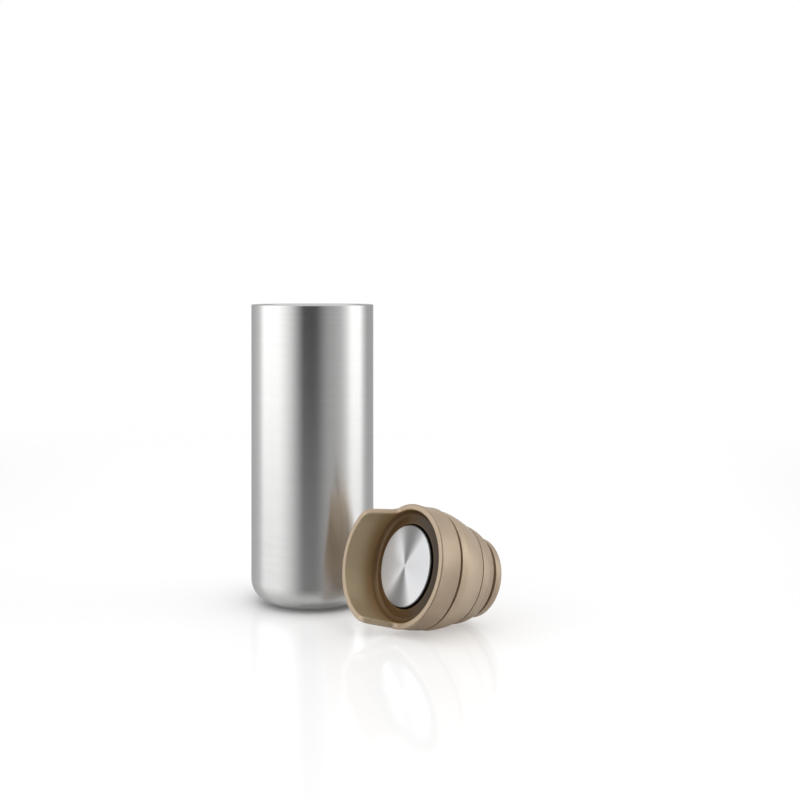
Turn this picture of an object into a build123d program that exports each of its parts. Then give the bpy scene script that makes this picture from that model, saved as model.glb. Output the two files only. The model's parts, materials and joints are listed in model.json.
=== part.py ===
from build123d import *
import math
import os

# Insulated travel mug, standing open, with its push-button lid lying on its side next to it.
# Millimetres and degrees. The mug stands at the origin. Each lid piece is drawn upright about +Z,
# with height 0 at the lid's seat, and is then laid down on the table by lid_place().

# Mug body
mug_diameter = 70.0
mug_height = 169.5
bore_diameter = 60.0
shell_wall = 0.5
liner_wall = 0.5
rim_round = 0.6
mouth_flare = 1.6
weld_land = 0.3
base_round = 13.0
liner_floor_gap = 7.0
liner_floor_round = 11.0
base_opening_radius = 18.0
base_lap = 2.0
base_plate_wall = 0.6
foot_proud = 0.2
foot_clearance = 0.3
dimple_radius = 4.0
dimple_depth = 1.6
port_radius = 0.8
bead_radius = 2.6
bead_height = 0.9
getter_radius = 5.0
getter_height = 0.8
foil_wall = 0.15
foil_margin = 16.0

# Lid collar: the drinking cup, its tall wall and the outer sleeve
cup_radius = 31.9
cup_mouth_radius = 28.9
cup_wall = 1.4
low_rim_height = 13.6
tall_wall_height = 30.8
tall_wall_foot_angle = 77.0
tall_wall_top_angle = 67.5
tall_wall_corner = 5.5
tall_wall_root = 4.5
rim_edge_round = 0.7
lip_height = 0.5
gutter_height = 9.4
gutter_round = 2.5
well_lip_height = 11.4
cup_floor = 1.6
sleeve_radius = 32.15
sleeve_waist = 0.35
sleeve_edge_round = 0.5
parting_gap = 0.2
seat_height = 1.3
scoop_offset = 5.0
scoop_depth = 0.7
scoop_half_height = 8.3
scoop_turn = 90.0

# Plug: body, seals and valve cage
neck_radius = 29.0
flange_height = 1.8
seal_radius = 31.0
seal_bulge_radius = 29.6
seal_tail_radius = 26.4
seal_top = -0.8
seal_shoulder = -4.5
seal_bulge = -10.0
seal_bottom = -18.1
seal_seat_radius = 28.4
seal_seat_height = -8.0
seal_seat_tail_radius = 24.4
plug_wall = 1.6
gasket_radius = 29.9
cage_gap = 0.5
cage_radius = 26.4
cage_bulge_radius = 25.4
cage_tail_radius = 23.0
cage_bulge = -23.4
cage_bottom = -28.2
cage_wall = 2.6
cage_spigot_length = 5.0
spigot_clearance = 0.1
bead_heights = [-21.2, -23.7, -26.2]
bead_width = 0.35
ring_section = 1.0
valve_opening_radius = 17.5

# Press button, stem and valve
press_travel = 4.5
button_radius = 21.0
button_top_height = 13.0
button_disc_height = 1.0
button_disc_round = 0.45
carrier_radius = 21.2
carrier_wall = 1.6
carrier_height = 5.4
well_clearance = 0.6
stem_radius = 3.0
stem_clearance = 0.06
stem_head_radius = 9.6
stem_head_height = 1.6
valve_radius = 21.3
valve_tail_radius = 18.3
valve_height = 5.6
valve_gap = 3.3
valve_seal_gap = 0.3
valve_seal_width = 3.2
valve_recess = 3.0
nut_radius = 5.0
nut_height = 2.4
guide_radius = 9.6
guide_wall = 1.6
guide_top = -3.0
guide_bottom = -24.0
guide_floor = 1.6
rib_width = 2.0
cam_clearance = 0.1
cam_height = 8.0
cam_tooth = 1.6
cam_teeth = 8
rotor_height = 3.0
rotor_gap = 0.4
rotor_clearance = 0.3
spring_radius = 8.8
spring_wire = 0.9
spring_turns = 4
spring_seat_gap = 0.3

# How the lid lies on the table
lid_x = 63.1
lid_y = -61.3
lid_heading = 55.8
lid_tilt = 14.7
lid_roll = 198.0

# Worked out from the dimensions above
mug_radius = mug_diameter / 2
bore_radius = bore_diameter / 2
shell_bottom = foot_proud
weld_radius = bore_radius + mouth_flare + weld_land
plate_bottom = shell_bottom + shell_wall
liner_bottom = plate_bottom + liner_floor_gap
cup_body_radius = cup_mouth_radius + cup_wall
lip_bottom = low_rim_height - lip_height
sleeve_top = lip_bottom - parting_gap
carrier_top = button_top_height - button_disc_height
carrier_bottom = carrier_top - carrier_height
well_radius = carrier_radius + well_clearance
well_outer_radius = well_radius + cup_floor
flange_bottom = seat_height - 0.2
flange_top = flange_bottom + flange_height
cage_top = seal_bottom - cage_gap
valve_top = cage_bottom - valve_gap
valve_bottom = valve_top - valve_height
guide_bore = guide_radius - guide_wall
rotor_room = press_travel + rotor_height + cam_tooth + 2 * rotor_gap
cam_top = guide_bottom + guide_floor + rotor_room + cam_height
cam_bottom = cam_top - cam_height
rotor_top = cam_bottom - cam_tooth - rotor_gap
stem_top = carrier_top - carrier_wall


def turned(points, radii=None):
    """Solid of revolution about Z of a closed outline of (radius, height) points, with corner radii."""
    corners = [(r, 0, h) for r, h in points]
    if radii is None:
        outline = Polyline(*corners, close=True)
    else:
        outline = FilletPolyline(*corners, radius=radii, close=True)
    return revolve(make_face(outline), Axis.Z)


def turned_bulge(points, bulge, start):
    """As turned(), but the side from point start to the next one is an arc through the bulge point."""
    edges = []
    for i, (r, h) in enumerate(points):
        r2, h2 = points[(i + 1) % len(points)]
        if i == start:
            edges.append(ThreePointArc((r, 0, h), (bulge[0], 0, bulge[1]), (r2, 0, h2)))
        else:
            edges.append(Line((r, 0, h), (r2, 0, h2)))
    return revolve(make_face(Wire(edges)), Axis.Z)


def tube(outer, inner, low, high):
    """Plain tube about Z between two heights."""
    return turned([(inner, low), (outer, low), (outer, high), (inner, high)])


def outer_shell():
    """Outer steel wall, with its rounded base and a rim that turns inwards to the weld."""
    inside = mug_radius - shell_wall
    points = [
        (base_opening_radius, shell_bottom),
        (mug_radius, shell_bottom),
        (mug_radius, mug_height),
        (weld_radius, mug_height),
        (weld_radius, mug_height - shell_wall),
        (inside, mug_height - shell_wall),
        (inside, plate_bottom),
        (base_opening_radius, plate_bottom),
    ]
    inner_rim = rim_round - shell_wall
    return turned(points, [0, base_round, rim_round, 0, 0, inner_rim, base_round - shell_wall, 0])


def inner_liner():
    """Inner steel cup, flared outwards at its mouth to meet the outer wall."""
    outside = bore_radius + liner_wall
    points = [
        (0, liner_bottom),
        (outside, liner_bottom),
        (outside, mug_height - liner_wall),
        (weld_radius, mug_height - liner_wall),
        (weld_radius, mug_height),
        (bore_radius, mug_height),
        (bore_radius, liner_bottom + liner_wall),
        (0, liner_bottom + liner_wall),
    ]
    flare = mouth_flare - liner_wall
    inner_floor_round = liner_floor_round - liner_wall
    return turned(points, [0, liner_floor_round, flare, 0, 0, mouth_flare, inner_floor_round, 0])


def base_plate():
    """Steel plate that closes the outer wall, with the evacuation port in a dimple."""
    edge = base_opening_radius + base_lap
    top = plate_bottom + base_plate_wall
    dimple_top = top + dimple_depth
    return turned([
        (port_radius, plate_bottom + dimple_depth),
        (dimple_radius - base_plate_wall, plate_bottom + dimple_depth),
        (dimple_radius - base_plate_wall, plate_bottom),
        (edge, plate_bottom),
        (edge, top),
        (dimple_radius, top),
        (dimple_radius, dimple_top),
        (port_radius, dimple_top),
    ])


def sealing_bead():
    """Drop of solder glass that closes the evacuation port from below."""
    top = plate_bottom + dimple_depth
    return turned([(0, top - bead_height), (bead_radius, top - bead_height), (bead_radius, top), (0, top)],
                  [0, bead_height * 0.6, 0, 0])


def foot_pad():
    """Soft disc under the base that the mug stands on."""
    radius = base_opening_radius - foot_clearance
    return turned([(0, 0), (radius, 0), (radius, plate_bottom), (0, plate_bottom)], [0, foot_proud * 0.6, 0, 0])


def getter():
    """Gas absorber pill on the underside of the liner, inside the vacuum."""
    return tube(getter_radius, 0, liner_bottom - getter_height, liner_bottom)


def insulation_foil():
    """Copper foil wrapped round the liner, inside the vacuum."""
    inner = bore_radius + liner_wall
    return tube(inner + foil_wall, inner, liner_bottom + foil_margin, mug_height - foil_margin)


def tall_wall_cutter():
    """Everything above the low rim that isn't the tall wall: one slanted, radially cut side each way."""
    reach = 2 * cup_radius
    top = tall_wall_height + tall_wall_corner
    side_angle = (tall_wall_foot_angle + tall_wall_top_angle) / 2
    half_shift = math.radians(tall_wall_foot_angle - tall_wall_top_angle) / 2 * cup_mouth_radius
    outline = [
        (half_shift, low_rim_height),
        (reach, low_rim_height),
        (reach, top),
        (-reach / 2, top),
        (-reach / 2, tall_wall_height),
        (-half_shift, tall_wall_height),
    ]
    rounds = [tall_wall_root, 0, 0, 0, 0, tall_wall_corner]
    cutter = Box(reach, 2 * reach, top - low_rim_height, align=(Align.MAX, Align.CENTER, Align.MIN))
    cutter = Pos(-cup_mouth_radius / 2, 0, low_rim_height) * cutter
    for side in (1, -1):
        angle = math.radians(side * side_angle)
        outward = Vector(math.cos(angle), math.sin(angle), 0)
        along = Vector(-math.sin(angle), math.cos(angle), 0) * side
        corners = [along * t + Vector(0, 0, h) for t, h in outline]
        face = make_face(FilletPolyline(*corners, radius=rounds, close=True))
        cutter += extrude(face, amount=reach, dir=outward)
    return cutter


def cup_shell():
    """Drinking cup: low rim, tall wall, sloping gutter floor and the well that the button works in."""
    under_gutter = gutter_height - cup_floor
    under_lip = well_lip_height - cup_floor
    points = [
        (cup_mouth_radius, tall_wall_height),
        (cup_radius, tall_wall_height),
        (cup_radius, lip_bottom),
        (cup_body_radius, lip_bottom),
        (cup_body_radius, under_gutter),
        (well_outer_radius, under_lip),
        (well_outer_radius, flange_top),
        (well_radius, flange_top),
        (well_radius, well_lip_height),
        (cup_mouth_radius, gutter_height),
    ]
    cup = turned(points, [0, 0, 0, 0, 0, 0, 0, 0, rim_edge_round / 2, gutter_round]) - tall_wall_cutter()
    rims = [e for e in cup.edges() if is_rim_edge(e)]
    return fillet(rims, rim_edge_round)


def is_rim_edge(edge):
    """True for the edges that run round the cup's rim and up over its tall wall."""
    if edge.center().Z < low_rim_height - 0.01:
        return False
    on_wall = [math.hypot(v.X, v.Y) for v in (edge @ 0, edge @ 0.5, edge @ 1)]
    inner = all(abs(r - cup_mouth_radius) < 0.01 for r in on_wall)
    outer = all(abs(r - cup_radius) < 0.01 for r in on_wall)
    return inner or outer


def scoop_ring():
    """Ring whose lens-shaped inside cuts a shallow finger scoop where it leans into the sleeve."""
    inside = sleeve_radius + scoop_offset - scoop_depth
    outside = sleeve_radius + 3 * scoop_offset
    return turned_bulge([
        (inside + 2 * scoop_depth, seat_height - scoop_half_height),
        (inside + 2 * scoop_depth, seat_height + scoop_half_height),
        (outside, seat_height + scoop_half_height),
        (outside, seat_height - scoop_half_height),
    ], (inside, seat_height), 0)


def collar_sleeve():
    """Outer sleeve of the collar, slightly waisted, with a finger scoop on one flank."""
    mid = (sleeve_top + seat_height) / 2
    sleeve = turned_bulge([
        (sleeve_radius, sleeve_top),
        (sleeve_radius, seat_height),
        (cup_body_radius, seat_height),
        (cup_body_radius, sleeve_top),
    ], (sleeve_radius - sleeve_waist, mid), 0)
    outer_edges = sleeve.edges().filter_by(GeomType.CIRCLE).sort_by(lambda e: e.radius)[-2:]
    sleeve = fillet(outer_edges, sleeve_edge_round)
    return sleeve - Rot(0, 0, scoop_turn) * Pos(-scoop_offset, 0, 0) * scoop_ring()


def plug_body():
    """Hollow plug: flange under the cup, seat for the main seal, spigot for the cage and stem guide."""
    inner = seal_seat_radius - plug_wall
    tail = seal_seat_tail_radius - plug_wall
    spigot = tail - spigot_clearance
    spigot_bottom = cage_top - cage_spigot_length
    body = turned([
        (well_radius, flange_top),
        (cup_body_radius, flange_top),
        (cup_body_radius, flange_bottom),
        (neck_radius, flange_bottom),
        (neck_radius, seal_top),
        (seal_seat_radius, seal_top),
        (seal_seat_radius, seal_seat_height),
        (seal_seat_tail_radius, seal_bottom),
        (tail, seal_bottom),
        (spigot, spigot_bottom),
        (spigot - plug_wall, spigot_bottom),
        (spigot - plug_wall, seal_bottom),
        (inner, seal_seat_height),
        (inner, flange_bottom),
        (well_radius, flange_bottom),
    ])
    body += tube(guide_radius, guide_bore, guide_bottom, guide_top)
    body += tube(guide_bore, stem_radius + stem_clearance, guide_bottom, guide_bottom + guide_floor)
    rib_start = (guide_radius + guide_bore) / 2
    rib_end = inner + plug_wall / 2
    rib_height = guide_top - seal_seat_height
    rib = Box(rib_end - rib_start, rib_width, rib_height, align=(Align.MIN, Align.CENTER, Align.MAX))
    for turn in (0, 120, 240):
        body += Rot(0, 0, turn) * Pos(rib_start, 0, guide_top) * rib
    return body


def seat_gasket():
    """Soft ring in the groove under the collar, which beds on the mug's rim."""
    return tube(gasket_radius, neck_radius, seal_top, flange_bottom)


def main_seal():
    """Silicone sleeve that grips the mug's bore."""
    return turned_bulge([
        (neck_radius, seal_top),
        (seal_radius, seal_top),
        (seal_radius, seal_shoulder),
        (seal_tail_radius, seal_bottom),
        (seal_seat_tail_radius, seal_bottom),
        (seal_seat_radius, seal_seat_height),
        (seal_seat_radius, seal_top),
    ], (seal_bulge_radius, seal_bulge), 2)


def valve_cage():
    """Lower plug ring that screws on to the spigot and carries the valve's seat."""
    bore = seal_seat_tail_radius - plug_wall
    shoulder = cage_top - cage_spigot_length - spigot_clearance
    cage = turned_bulge([
        (bore, cage_top),
        (cage_radius, cage_top),
        (cage_tail_radius, cage_bottom),
        (valve_opening_radius, cage_bottom),
        (valve_opening_radius, cage_bottom + plug_wall),
        (cage_tail_radius - cage_wall, cage_bottom + cage_wall),
        (bore, shoulder),
    ], (cage_bulge_radius, cage_bulge), 1)
    for height in bead_heights:
        cage -= Pos(0, 0, height) * Torus(cage_surface(height), bead_width)
    return cage


def cage_surface(height):
    """Radius of the cage's outer arc at a height, plus half the groove's width."""
    arc = ThreePointArc((cage_radius, cage_top), (cage_bulge_radius, cage_bulge), (cage_tail_radius, cage_bottom))
    centre = arc.arc_center
    reach = (Vector(cage_radius, cage_top) - centre).length
    return centre.X + math.sqrt(reach**2 - (height - centre.Y) ** 2) + bead_width / 2


def cage_ring():
    """Sealing ring between the cage and the plug body."""
    radius = seal_seat_tail_radius - ring_section / 2
    low = seal_bottom - cage_gap
    return tube(radius, seal_seat_tail_radius - plug_wall, low, seal_bottom)


def cam_guide():
    """Fixed sleeve of the click action, with saw teeth on its lower end."""
    inner = stem_radius + rotor_clearance
    guide = tube(guide_bore - cam_clearance, inner, cam_bottom, cam_top)
    height = cam_tooth
    width = 2 * math.pi * guide_bore / cam_teeth
    tooth = make_face(Polyline((0, 0, 0), (width / 2, 0, 0), (0, 0, -height), close=True))
    tooth = extrude(tooth, amount=guide_bore, dir=(0, -1, 0))
    limit = tube(guide_bore - cam_clearance, inner, cam_bottom - height, cam_bottom)
    for i in range(cam_teeth):
        guide += limit & (Rot(0, 0, 360 / cam_teeth * i) * Pos(0, 0, cam_bottom) * tooth)
    return guide


def return_spring():
    """Coil spring under the button, on the guide's top."""
    low = guide_top + spring_wire / 2 + spring_seat_gap
    high = stem_top - stem_head_height - spring_wire / 2 - spring_seat_gap
    path = Helix((high - low) / spring_turns, high - low, spring_radius)
    section = Plane(origin=path @ 0, z_dir=path % 0) * Circle(spring_wire / 2)
    return Pos(0, 0, low) * sweep(section, path=path, is_frenet=True)


def button_disc():
    """Turned steel face of the push button."""
    points = [(0, carrier_top), (button_radius, carrier_top), (button_radius, button_top_height),
              (0, button_top_height)]
    return turned(points, [0, 0, button_disc_round, 0])


def button_carrier():
    """Black moulded body of the button, with a skirt that runs in the cup's well."""
    return turned([
        (0, stem_top),
        (carrier_radius - carrier_wall, stem_top),
        (carrier_radius - carrier_wall, carrier_bottom),
        (carrier_radius, carrier_bottom),
        (carrier_radius, carrier_top),
        (0, carrier_top),
    ])


def valve_stem():
    """Stem from the button down through the guide to the valve plate, with its spring head."""
    return turned([
        (0, valve_bottom + valve_recess - nut_height),
        (stem_radius, valve_bottom + valve_recess - nut_height),
        (stem_radius, stem_top - stem_head_height),
        (stem_head_radius, stem_top - stem_head_height),
        (stem_head_radius, stem_top),
        (0, stem_top),
    ])


def valve_plate():
    """Disc that closes the plug from below and drops clear of it when the button is pressed."""
    recess_radius = nut_radius + valve_recess
    return turned_bulge([
        (stem_radius, valve_top),
        (valve_radius, valve_top),
        (valve_radius, valve_top - valve_height / 3),
        (valve_tail_radius, valve_bottom),
        (recess_radius, valve_bottom),
        (recess_radius, valve_bottom + valve_recess),
        (stem_radius, valve_bottom + valve_recess),
    ], (valve_radius - 0.9, valve_bottom + 1.3), 2)


def valve_seal():
    """Silicone ring on the valve plate that closes against the cage."""
    outer = valve_opening_radius + valve_seal_width / 2
    return tube(outer, outer - valve_seal_width, valve_top, cage_bottom - valve_seal_gap)


def valve_nut():
    """Round nut that holds the valve plate on the stem."""
    top = valve_bottom + valve_recess
    return tube(nut_radius, stem_radius, top - nut_height, top)


def click_rotor():
    """Toothed ring on the stem that turns one step each time the button is pressed."""
    rotor = tube(guide_bore - 2 * rotor_clearance, stem_radius + stem_clearance, rotor_top - rotor_height, rotor_top)
    notch = Box(cam_tooth, cam_tooth, rotor_height / 2, align=(Align.CENTER, Align.CENTER, Align.MAX))
    for i in range(cam_teeth):
        rotor -= Rot(0, 0, 360 / cam_teeth * i) * Pos(guide_bore - 2 * rotor_clearance, 0, rotor_top) * notch
    return rotor


def lid_axes():
    """Directions of the lying lid: its upward axis, and the way its tall wall faces."""
    heading, tilt, roll = (math.radians(v) for v in (lid_heading, lid_tilt, lid_roll))
    axis = Vector(-math.sin(heading) * math.cos(tilt), -math.cos(heading) * math.cos(tilt), math.sin(tilt))
    across = Vector(math.cos(heading), -math.sin(heading), 0)
    upward = axis.cross(across)
    return axis, across * math.cos(roll) + upward * math.sin(roll)


def lid_place(solids):
    """Location that lays the upright lid on the table, so that its lowest point is at height 0."""
    axis, facing = lid_axes()
    flat = Plane(origin=(lid_x, lid_y, 0), x_dir=facing, z_dir=axis)
    lowest = min((flat.location * s).bounding_box().min.Z for s in solids)
    return Pos(0, 0, -lowest) * flat.location


def main():
    os.makedirs("parts", exist_ok=True)
    mug = [outer_shell, inner_liner, base_plate, sealing_bead, foot_pad, getter, insulation_foil]
    lid = [cup_shell, collar_sleeve, plug_body, seat_gasket, main_seal, valve_cage, cage_ring, cam_guide,
           return_spring, button_disc, button_carrier, valve_stem, valve_plate, valve_seal, valve_nut,
           click_rotor]
    for make in mug:
        export_step(make(), f"parts/{make.__name__}.step")
    upright = {make.__name__: make() for make in lid}
    place = lid_place(upright.values())
    for name, solid in upright.items():
        export_step(place * solid, f"parts/{name}.step")
    axis, facing = lid_axes()
    print("lid seat centre", place.position, "axis", axis, "tall wall faces", facing)


main()
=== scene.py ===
import bmesh
import bpy
import json
import math
from mathutils import Matrix, Vector


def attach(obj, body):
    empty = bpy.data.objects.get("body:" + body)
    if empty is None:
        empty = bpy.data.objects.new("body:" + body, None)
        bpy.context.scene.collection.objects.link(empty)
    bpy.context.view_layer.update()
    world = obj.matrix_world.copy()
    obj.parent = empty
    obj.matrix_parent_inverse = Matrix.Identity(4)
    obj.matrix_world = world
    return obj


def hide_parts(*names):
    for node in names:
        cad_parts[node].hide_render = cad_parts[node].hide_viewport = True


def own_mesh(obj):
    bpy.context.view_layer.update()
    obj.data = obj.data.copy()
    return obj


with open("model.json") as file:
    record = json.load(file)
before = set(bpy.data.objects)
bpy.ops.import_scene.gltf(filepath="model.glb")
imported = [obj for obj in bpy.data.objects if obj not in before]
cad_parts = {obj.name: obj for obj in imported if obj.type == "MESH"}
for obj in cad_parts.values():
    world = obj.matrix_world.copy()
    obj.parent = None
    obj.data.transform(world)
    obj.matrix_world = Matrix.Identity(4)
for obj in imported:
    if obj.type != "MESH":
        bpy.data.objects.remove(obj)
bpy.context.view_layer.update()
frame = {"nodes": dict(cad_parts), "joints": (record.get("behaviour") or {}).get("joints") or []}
nodes = frame["nodes"]
print("frame loaded:", len(nodes), "CAD nodes")


class Wire:
    # One output socket of a shader tree. Maths on wires adds Math nodes.
    def __init__(self, tree, socket=None):
        self.tree = tree
        self.socket = socket

    def node(self, kind, settings=None, sockets=None, out=0):
        # Any node: settings first, then the values or links of its sockets, by name or index.
        made = self.tree.nodes.new(kind)
        for key, value in (settings or {}).items():
            if key == "stops":
                fillRamp(made.color_ramp, value)
            else:
                setattr(made, key, value)
        for key, value in (sockets or {}).items():
            if isinstance(value, Wire):
                self.tree.links.new(value.socket, made.inputs[key])
            else:
                made.inputs[key].default_value = value
        return Wire(self.tree, made.outputs[out])

    def maths(self, operation, *values):
        return self.node("ShaderNodeMath", {"operation": operation}, dict(enumerate(values)))

    def __add__(self, other):
        return self.maths("ADD", self, other)

    def __radd__(self, other):
        return self.maths("ADD", other, self)

    def __sub__(self, other):
        return self.maths("SUBTRACT", self, other)

    def __rsub__(self, other):
        return self.maths("SUBTRACT", other, self)

    def __mul__(self, other):
        return self.maths("MULTIPLY", self, other)

    def __rmul__(self, other):
        return self.maths("MULTIPLY", other, self)

    def __truediv__(self, other):
        return self.maths("DIVIDE", self, other)

    def __pow__(self, other):
        return self.maths("POWER", self, other)

    def step(self, low, high):
        # 0 below low, 1 above high, smooth between
        return self.node("ShaderNodeMapRange", {"interpolation_type": "SMOOTHSTEP"},
                         {"Value": self, "From Min": low, "From Max": high})

    def around(self, middle, spread):
        # a 0-1 wire that varies a value by half the spread to each side of its middle
        return middle + (self - 0.5) * spread

    def dot(self, direction):
        return self.node("ShaderNodeVectorMath", {"operation": "DOT_PRODUCT"},
                         {0: self, 1: direction}, out="Value")

    def length(self):
        return self.node("ShaderNodeVectorMath", {"operation": "LENGTH"}, {0: self}, out="Value")

    def shift(self, offset):
        return self.node("ShaderNodeVectorMath", {"operation": "SUBTRACT"}, {0: self, 1: offset})

    def scaled(self, factors):
        return self.node("ShaderNodeVectorMath", {"operation": "MULTIPLY"}, {0: self, 1: factors})

    def split(self, axis):
        return self.node("ShaderNodeSeparateXYZ", None, {0: self}, out=axis)

    def joined(self, y, z):
        return self.node("ShaderNodeCombineXYZ", None, {"X": self, "Y": y, "Z": z})

    def noise(self, scale, detail, rough=0.5):
        return self.node("ShaderNodeTexNoise", None,
                         {"Vector": self, "Scale": scale, "Detail": detail, "Roughness": rough})

    def blend(self, colourA, colourB):
        # this wire is the factor between two colours, which are the mix node's inputs 6 and 7
        return self.node("ShaderNodeMix", {"data_type": "RGBA"},
                         {"Factor": self, 6: colourA, 7: colourB}, out=2)

    def bump(self, distance, strength):
        return self.node("ShaderNodeBump", None,
                         {"Height": self, "Distance": distance, "Strength": strength})


def fillRamp(ramp, stops):
    while len(ramp.elements) < len(stops):
        ramp.elements.new(1.0)
    for element, (place, level) in zip(ramp.elements, stops):
        element.position = place
        element.color = (level, level, level, 1.0)


def linear(red, green, blue):
    # a colour as a screen shows it, 0-255, to the shader's own scale by the sRGB curve
    def one(value):
        value = value / 255
        return value / 12.92 if value <= 0.04045 else ((value + 0.055) / 1.055) ** 2.4
    return (one(red), one(green), one(blue), 1.0)


def newMaterial(name, fixed, paint):
    # paint(place) gets the object-space place and returns the sockets that vary over the surface
    made = bpy.data.materials.new(name)
    made.use_nodes = True
    tree = made.node_tree
    shader = tree.nodes["Principled BSDF"]
    for key, value in fixed.items():
        shader.inputs[key].default_value = value
    place = Wire(tree).node("ShaderNodeTexCoord", out="Object")
    for key, wire in paint(place).items():
        tree.links.new(wire.socket, shader.inputs[key])
    return made


def dress(names, material):
    for name in names:
        mesh = nodes[name].data
        mesh.materials.clear()
        mesh.materials.append(material)


# The lid's own frame: its axis comes from the click joint, and the tall wall's side from the cup's
# points that stand higher above the seat than the low rim does
tallWallFrom = 0.025
clickJoint = next(j for j in frame["joints"] if j["name"] == "click_turn")
seatCentre = Vector(clickJoint["pos_m"])
lidAxis = Vector(clickJoint["axis"]).normalized()
tallPoints = [v.co - seatCentre for v in nodes["cup_shell"].data.vertices
              if (v.co - seatCentre).dot(lidAxis) > tallWallFrom]
facing = sum((p - lidAxis * p.dot(lidAxis) for p in tallPoints), Vector()).normalized()
sideways = lidAxis.cross(facing)
lidMatrix = Matrix((facing, sideways, lidAxis)).transposed().to_4x4()
lidMatrix.translation = seatCentre


def lidHeight(place):
    return place.shift(seatCentre).dot(lidAxis)


def lidSpread(place):
    # distance from the lid's axis
    along = place.shift(seatCentre)
    across = along.dot(facing)
    over = along.dot(sideways)
    return (across * across + over * over) ** 0.5


# Brushed steel of the mug: fine lines round the body
bodySteel = {
    "light": (0.72, 0.72, 0.715, 1.0),
    "dark": (0.65, 0.65, 0.645, 1.0),
    "roughness": 0.25,
    "roughnessSpread": 0.06,
    "anisotropy": 0.85,
    "anisotropyTurn": 0.25,
    "lineScale": (14.0, 14.0, 5200.0),  # long round the body and fine up it
    "lineDetail": 4.0,
    "lineRoughness": 0.6,
    "lineRange": (0.2, 0.8),
    "lineBump": 0.000004,
    "bumpStrength": 0.6,
}


def paintBodySteel(place):
    stretched = place.scaled(bodySteel["lineScale"])
    lines = stretched.noise(1.0, bodySteel["lineDetail"], bodySteel["lineRoughness"])
    tone = lines.step(*bodySteel["lineRange"])
    return {
        "Base Color": tone.blend(bodySteel["dark"], bodySteel["light"]),
        "Roughness": lines.around(bodySteel["roughness"], bodySteel["roughnessSpread"]),
        "Normal": lines.bump(bodySteel["lineBump"], bodySteel["bumpStrength"]),
    }


steelBody = newMaterial("steelBody", {
    "Metallic": 1.0,
    "Anisotropic": bodySteel["anisotropy"],
    "Anisotropic Rotation": bodySteel["anisotropyTurn"],
}, paintBodySteel)
dress(["outer_shell", "inner_liner", "base_plate"], steelBody)
print("mug steel done")

# Moulded taupe plastic of the lid: soft clouding and a fine grain. The metallic value gives its sheen.
lidPlastic = {
    "light": linear(202, 181, 156),
    "dark": linear(194, 172, 146),
    "roughness": 0.33,
    "roughnessSpread": 0.06,
    "metallic": 0.3,
    "cloudScale": 60.0,
    "cloudDetail": 2.0,
    "cloudRange": (0.3, 0.7),
    "grainScale": 900.0,
    "grainDetail": 3.0,
    "grainBump": 0.00001,
    "bumpStrength": 0.3,
}


def paintMoulded(values):
    def paint(place):
        cloud = place.noise(values["cloudScale"], values["cloudDetail"]).step(*values["cloudRange"])
        grain = place.noise(values["grainScale"], values["grainDetail"])
        return {
            "Base Color": cloud.blend(values["dark"], values["light"]),
            "Roughness": grain.around(values["roughness"], values["roughnessSpread"]),
            "Normal": grain.bump(values["grainBump"], values["bumpStrength"]),
        }
    return paint


# Inside of the cup: painted shade. It is browner and darker towards its floor and on the low side, and
# lighter towards the top and on the tall side.
# Each range is where one colour turns into the next, in metres from the seat, from the axis, or towards
# the tall wall.
cupInsidePaintedShade = {
    "wallTop": linear(194, 174, 141),
    "wallDeepShade": linear(190, 158, 114),
    "floorTallSideLit": linear(128, 100, 66),
    "floorLowSideShade": linear(52, 36, 12),
    "wallRange": (0.012, 0.024),
    "floorRange": (0.0108, 0.0145),
    "sideRange": (-0.024, 0.026),
    "mouthRange": (0.0291, 0.0297),
}


def paintCupWithShade(place):
    sockets = paintMoulded(lidPlastic)(place)
    height = lidHeight(place)
    # painted shade: darker down the wall, and across the floor towards the low side
    wall = height.step(*cupInsidePaintedShade["wallRange"]).blend(cupInsidePaintedShade["wallDeepShade"], cupInsidePaintedShade["wallTop"])
    tallSide = place.shift(seatCentre).dot(facing).step(*cupInsidePaintedShade["sideRange"])
    floor = tallSide.blend(cupInsidePaintedShade["floorLowSideShade"], cupInsidePaintedShade["floorTallSideLit"])
    inside = height.step(*cupInsidePaintedShade["floorRange"]).blend(floor, wall)
    outside = lidSpread(place).step(*cupInsidePaintedShade["mouthRange"])
    sockets["Base Color"] = outside.blend(inside, sockets["Base Color"])
    return sockets


plasticFixed = {"IOR": 1.5, "Metallic": lidPlastic["metallic"]}
taupe = newMaterial("taupePlastic", plasticFixed, paintMoulded(lidPlastic))
dress(["collar_sleeve", "plug_body", "valve_cage", "valve_plate"], taupe)
# the cup's inside gets painted shade over the moulded plastic colour
dress(["cup_shell"], newMaterial("cupPlasticPaintedShade", plasticFixed, paintCupWithShade))

# Silicone of the plug's wide seal: a little lighter than the plastic, with a dusty grain
silicone = {
    "light": linear(213, 192, 166),
    "dark": linear(206, 184, 157),
    "roughness": 0.30,
    "roughnessSpread": 0.1,
    "metallic": 0.3,
    "cloudScale": 60.0,
    "cloudDetail": 2.0,
    "cloudRange": (0.3, 0.7),
    "grainScale": 1400.0,
    "grainDetail": 3.0,
    "grainBump": 0.00001,
    "bumpStrength": 0.3,
}
siliconeFixed = {"IOR": 1.42, "Metallic": silicone["metallic"]}
dress(["main_seal"], newMaterial("plugSilicone", siliconeFixed, paintMoulded(silicone)))

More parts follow.
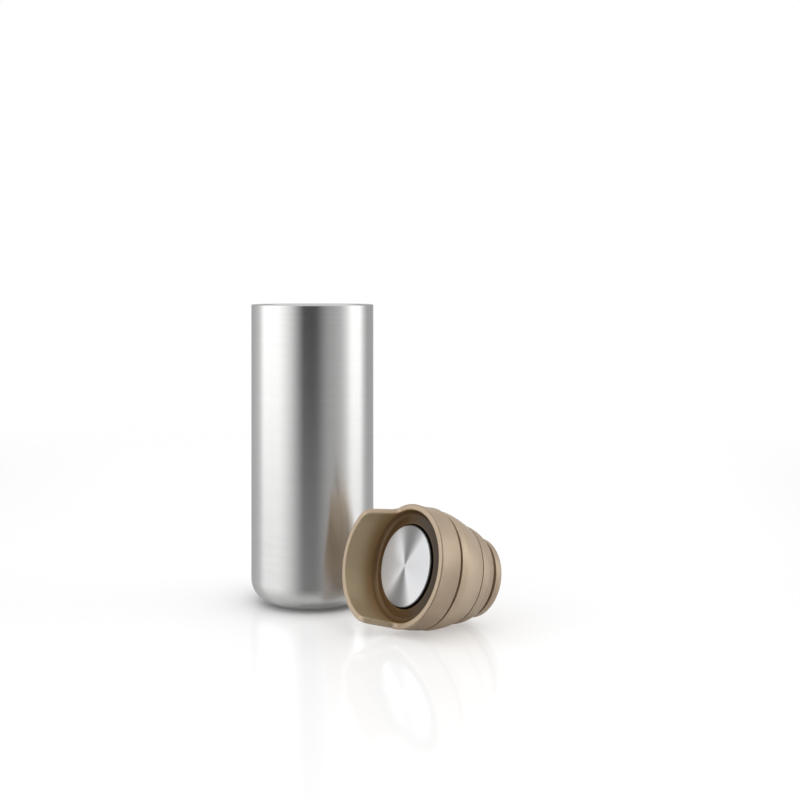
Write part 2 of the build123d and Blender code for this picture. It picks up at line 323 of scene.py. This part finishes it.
# Everything else, by what it is made of: a grain mixes two colours, and the roughness follows it.
# The CAD node return_spring has its material here too, though a finer coil replaces it further down.
smallGrain = {
    "detail": 3.0,
    "range": (0.3, 0.7),
    "roughnessSpread": 0.15,
    "bump": 0.00001,
    "bumpStrength": 0.4,
}
smallParts = {
    "sealSilicone": {
        "nodes": ["seat_gasket", "cage_ring", "valve_seal"],
        "grain": (1400.0, 1400.0, 1400.0),
        "light": linear(120, 100, 78),
        "dark": linear(104, 86, 66),
        "roughness": 0.45,
        "fixed": {"IOR": 1.42, "Sheen Weight": 0.2},
    },
    "blackPlastic": {
        "nodes": ["button_carrier"],
        "grain": (1200.0, 1200.0, 1200.0),
        "light": linear(24, 23, 22),
        "dark": linear(15, 15, 15),
        "roughness": 0.32,
        "fixed": {"IOR": 1.5},
    },
    "whiteAcetal": {
        "nodes": ["cam_guide", "click_rotor", "valve_nut", "valve_stem"],
        "grain": (500.0, 500.0, 500.0),
        "light": linear(236, 235, 229),
        "dark": linear(228, 226, 219),
        "roughness": 0.4,
        "fixed": {"IOR": 1.48, "Subsurface Weight": 0.1, "Subsurface Scale": 0.001},
    },
    "springSteel": {
        "nodes": ["return_spring"],
        "grain": (2500.0, 2500.0, 300.0),
        "light": linear(196, 197, 199),
        "dark": linear(160, 161, 164),
        "roughness": 0.28,
        "fixed": {"Metallic": 1.0},
    },
    "footRubber": {
        "nodes": ["foot_pad"],
        "grain": (2200.0, 2200.0, 2200.0),
        "light": linear(64, 61, 58),
        "dark": linear(46, 44, 42),
        "roughness": 0.75,
        "fixed": {"IOR": 1.5, "Sheen Weight": 0.3},
    },
    "copperFoil": {
        "nodes": ["insulation_foil"],
        "grain": (120.0, 120.0, 40.0),
        "light": linear(226, 158, 120),
        "dark": linear(204, 132, 96),
        "roughness": 0.22,
        "fixed": {"Metallic": 1.0},
    },
    "getterMetal": {
        "nodes": ["getter"],
        "grain": (1800.0, 1800.0, 1800.0),
        "light": linear(150, 150, 152),
        "dark": linear(112, 112, 115),
        "roughness": 0.7,
        "fixed": {"Metallic": 0.8},
    },
    "solderGlass": {
        "nodes": ["sealing_bead"],
        "grain": (900.0, 900.0, 900.0),
        "light": linear(206, 203, 186),
        "dark": linear(176, 172, 152),
        "roughness": 0.18,
        "fixed": {"IOR": 1.6, "Coat Weight": 0.5},
    },
}


def paintSmall(values):
    def paint(place):
        grain = place.scaled(values["grain"]).noise(1.0, smallGrain["detail"])
        tone = grain.step(*smallGrain["range"])
        return {
            "Base Color": tone.blend(values["dark"], values["light"]),
            "Roughness": grain.around(values["roughness"], smallGrain["roughnessSpread"]),
            "Normal": grain.bump(smallGrain["bump"], smallGrain["bumpStrength"]),
        }
    return paint


for name, values in smallParts.items():
    dress(values["nodes"], newMaterial(name, values["fixed"], paintSmall(values)))
print("lid plastics and inner pieces done")

# Button face: turned steel, lathed in the lid's frame so that the turning marks run round its middle.
# The fans are a painted reflection: two dark sectors across the middle, painted into the base colour,
# fanTurn degrees round from the tall wall's side.
buttonFace = {
    "light": (0.91, 0.92, 0.94, 1.0),
    "dark": (0.84, 0.85, 0.87, 1.0),
    "darkReflectionFan": (0.22, 0.22, 0.22, 1.0),
    "fanTurn": 71.0,
    "fanRange": (-0.05, 0.38),
    "fanMiddle": 0.00002,  # keeps the fans finite on the axis itself
    "metallic": 0.35,
    "roughness": 0.34,
    "roughnessSpread": 0.08,
    "anisotropy": 0.9,
    "ringScale": 2600.0,
    "ringDetail": 4.0,
    "ringRoughness": 0.6,
    "ringRange": (0.2, 0.8),
    "ringBump": 0.000006,
    "bumpStrength": 0.6,
    "edgeRound": 0.00045,
    "edgeSteps": 6,
    "footChamfer": 0.0001,
    "loops": (0.98, 0.6, 0.2),  # shares of the flat top's radius
    "turns": 160,
    "weld": 0.000001,
}


def addMesh(name, build, isSmooth):
    # turns the finished bmesh into an object in the lid's frame
    bmesh.ops.recalc_face_normals(build, faces=build.faces)
    mesh = bpy.data.meshes.new(name)
    build.to_mesh(mesh)
    build.free()
    for face in mesh.polygons:
        face.use_smooth = isSmooth(face)
    made = bpy.data.objects.new(name, mesh)
    bpy.context.collection.objects.link(made)
    made.matrix_world = lidMatrix
    return made


def lidPoints(name):
    # a CAD node's points in the lid's frame
    intoLid = lidMatrix.inverted()
    return [intoLid @ v.co for v in nodes[name].data.vertices]


def quarter(radius, height, size, steps):
    # a rounded outer corner under (radius, height)
    return [(radius - size + size * math.sin(t), height - size + size * math.cos(t))
            for t in (math.pi / 2 * (1 - i / steps) for i in range(steps + 1))]


def addButtonFace():
    points = lidPoints("button_disc")
    low = min(p.z for p in points)
    high = max(p.z for p in points)
    radius = max(math.hypot(p.x, p.y) for p in points)
    chamfer = buttonFace["footChamfer"]
    flat = radius - buttonFace["edgeRound"]
    outline = [(0, low), (radius - chamfer, low), (radius, low + chamfer)]
    outline += quarter(radius, high, buttonFace["edgeRound"], buttonFace["edgeSteps"])
    outline += [(flat * share, high) for share in buttonFace["loops"]]
    outline.append((0, high))
    build = bmesh.new()
    chain = [build.verts.new((away, 0, height)) for away, height in outline]
    lines = [build.edges.new(pair) for pair in zip(chain, chain[1:])]
    bmesh.ops.spin(build, geom=chain + lines, cent=(0, 0, 0), axis=(0, 0, 1),
                   angle=2 * math.pi, steps=buttonFace["turns"], use_merge=True)
    bmesh.ops.remove_doubles(build, verts=build.verts, dist=buttonFace["weld"])
    return addMesh("buttonFace", build, lambda face: True)


def paintButtonFace(place):
    across = place.split("X")
    over = place.split("Y")
    reach = (across * across + over * over) ** 0.5
    rings = reach.joined(0.0, 0.0).noise(buttonFace["ringScale"], buttonFace["ringDetail"],
                                         buttonFace["ringRoughness"])
    turn = math.radians(buttonFace["fanTurn"])
    along = (across * math.cos(turn) + over * math.sin(turn)) / (reach + buttonFace["fanMiddle"])
    # painted reflection: the two dark fans are painted into the base colour
    offReflectionFan = (1 - along * along).step(*buttonFace["fanRange"])
    steel = rings.step(*buttonFace["ringRange"]).blend(buttonFace["dark"], buttonFace["light"])
    return {
        "Base Color": offReflectionFan.blend(buttonFace["darkReflectionFan"], steel),
        "Roughness": rings.around(buttonFace["roughness"], buttonFace["roughnessSpread"]),
        "Normal": rings.bump(buttonFace["ringBump"], buttonFace["bumpStrength"]),
    }


turnedFixed = {"Metallic": buttonFace["metallic"], "Anisotropic": buttonFace["anisotropy"]}
turnedSteelPaintedReflection = newMaterial("turnedSteelPaintedReflection", turnedFixed, paintButtonFace)
dress(["button_disc"], turnedSteelPaintedReflection)
face = addButtonFace()
face.data.materials.append(turnedSteelPaintedReflection)
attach(face, "button")
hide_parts("button_disc")
print("button face done")

# Return spring: a coil in the lid's frame, carried with the lid
spring = {"wire": 0.0009, "turns": 4, "sides": 12, "stepsPerTurn": 48}


def addSpring():
    points = lidPoints("return_spring")
    half = spring["wire"] / 2
    low = min(p.z for p in points) + half
    high = max(p.z for p in points) - half
    radius = max(math.hypot(p.x, p.y) for p in points) - half
    rise = (high - low) / (2 * math.pi * spring["turns"] * radius)
    sides = spring["sides"]
    steps = spring["turns"] * spring["stepsPerTurn"]
    angles = [2 * math.pi * k / sides for k in range(sides)]
    build = bmesh.new()
    rings = []
    for i in range(steps + 1):
        turn = 2 * math.pi * i / spring["stepsPerTurn"]
        outward = Vector((math.cos(turn), math.sin(turn), 0))
        along = Vector((-outward.y, outward.x, rise)).normalized()
        upward = outward.cross(along)
        centre = outward * radius + Vector((0, 0, low + (high - low) * i / steps))
        spokes = [outward * math.cos(a) + upward * math.sin(a) for a in angles]
        rings.append([build.verts.new(centre + spoke * half) for spoke in spokes])
    for ringA, ringB in zip(rings, rings[1:]):
        for k in range(sides):
            build.faces.new((ringA[k], ringA[k - 1], ringB[k - 1], ringB[k]))
    build.faces.new(rings[0])
    build.faces.new(reversed(rings[-1]))
    made = addMesh("springCoil", build, lambda face: len(face.vertices) == 4)
    made.data.materials.append(bpy.data.materials["springSteel"])
    return made, low - half, high + half


coil, springFoot, springTop = addSpring()
pressJoint = next(j for j in frame["joints"] if j["name"] == "button_press")
travel = pressJoint["range_m"][1]
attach(coil, "lid")
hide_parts("return_spring")
tuple(seatCentre + lidAxis * springFoot)
1 - travel / (springTop - springFoot)
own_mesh(coil)
print("spring done")

# Floor: a white sheet that only the camera sees, over a dull mirror that lights the pieces and is
# reflected in them. The contact shade dims the sheet's glow, and fades away from the mug's axis.
floorLook = {
    "radius": 1.6,
    "corners": 96,
    "fadeStart": 0.55,
    "fadeEnd": 1.0,
    "sheetColour": (0.80, 0.80, 0.80, 1.0),
    "sheetRoughness": 0.08,
    "sheetGlow": 0.38,
    "bounceColour": (0.74, 0.74, 0.74, 1.0),
    "bounceMetal": 0.55,
    "bounceRoughness": 0.25,
    "bounceGlow": 0.125,
    "contactShade": 20.0,
    "contactReach": 0.010,
    "bounceDrop": 0.0003,
    "cloudScale": 8.0,
    "cloudDetail": 2.0,
    "roughnessSpread": 0.02,
}
white = (1, 1, 1, 1)
black = (0, 0, 0, 1)


def addFloor(name, height):
    bpy.ops.mesh.primitive_circle_add(vertices=floorLook["corners"], radius=floorLook["radius"],
                                      fill_type="NGON", location=(0, 0, height))
    made = bpy.context.object
    made.name = name
    return made


def floorReach(place):
    # distance over the floor from the mug's axis
    return place.scaled((1.0, 1.0, 0.0)).length()


def paintFloor(roughness):
    def paint(place):
        cloud = place.noise(floorLook["cloudScale"], floorLook["cloudDetail"])
        return {
            "Alpha": 1.0 - floorReach(place).step(floorLook["fadeStart"], floorLook["fadeEnd"]),
            "Roughness": cloud.around(roughness, floorLook["roughnessSpread"]),
        }
    return paint


def paintSheet(place):
    sockets = paintFloor(floorLook["sheetRoughness"])(place)
    reach = floorReach(place)
    near = reach.maths("EXPONENT", reach / -floorLook["contactReach"])
    sockets["Emission Color"] = (near * floorLook["contactShade"]).blend(white, black)
    return sockets


sheet = addFloor("floorSheet", 0.0)
sheet.visible_glossy = False
sheet.visible_diffuse = False
sheet.data.materials.append(newMaterial("floorSheet", {
    "Base Color": floorLook["sheetColour"],
    "Emission Strength": floorLook["sheetGlow"],
    "IOR": 1.45,
}, paintSheet))
bounce = addFloor("floorBounce", -floorLook["bounceDrop"])
bounce.visible_camera = False
bounce.data.materials.append(newMaterial("floorBounce", {
    "Base Color": floorLook["bounceColour"],
    "Metallic": floorLook["bounceMetal"],
    "Emission Color": white,
    "Emission Strength": floorLook["bounceGlow"],
}, paintFloor(floorLook["bounceRoughness"])))
print("floor done")

# Studio: a dome with tall soft panels round it. Each stop is (degrees round from the front, brightness).
studio = {
    "strength": 1.62,
    "round": [
        (-180, 0.33), (-168, 0.33), (-160, 0.278), (-148, 0.287), (-137, 0.324), (-119, 0.426),
        (-111, 0.574), (-99, 1.0), (-62, 1.0), (-48, 0.80), (-36, 0.56), (-24, 0.25),
        (-13, 0.015), (6, 0.008), (13, 0.035), (22, 0.139), (33, 0.259), (45, 0.306),
        (58, 0.389), (70, 0.611), (82, 1.0), (104, 1.0), (115, 0.537), (127, 0.296),
        (160, 0.259), (168, 0.36), (180, 0.33),
    ],
    "overhead": 0.56,
    "overheadRange": (0.45, 0.8),  # heights between which the panels give way to the ceiling
}
world = bpy.data.worlds.new("studio")
bpy.context.scene.world = world
world.use_nodes = True
tree = world.node_tree
background = tree.nodes["Background"]
way = Wire(tree).node("ShaderNodeTexCoord", out="Generated")
across, depth, height = (way.split(axis) for axis in "XYZ")
turn = across.maths("ARCTAN2", across, depth * -1.0)
stops = [((degrees + 180) / 360, level) for degrees, level in studio["round"]]
panels = turn.node("ShaderNodeValToRGB", {"stops": stops}, {"Fac": turn / (2 * math.pi) + 0.5})
ceiling = height.step(*studio["overheadRange"])
level = panels * (1 - ceiling) + ceiling * studio["overhead"]
backdrop = Wire(tree).node("ShaderNodeLightPath", out="Is Camera Ray")
seen = backdrop + (1 - backdrop) * level * studio["strength"]
tree.links.new(seen.socket, background.inputs["Strength"])
background.inputs["Color"].default_value = white
print("studio done")

# Camera: level, facing along +Y, with its frame shifted down
lens = {"place": (0.05029, -0.71505, 0.1812), "focal": 55.92, "sensor": 36.0, "shift": -0.145}
bpy.ops.object.camera_add(location=lens["place"], rotation=(math.pi / 2, 0, 0))
camera = bpy.context.object
camera.name = "camera"
camera.data.lens = lens["focal"]
camera.data.sensor_width = lens["sensor"]
camera.data.shift_y = lens["shift"]
bpy.context.scene.camera = camera
bpy.context.scene.view_settings.view_transform = "Standard"
print("camera done")
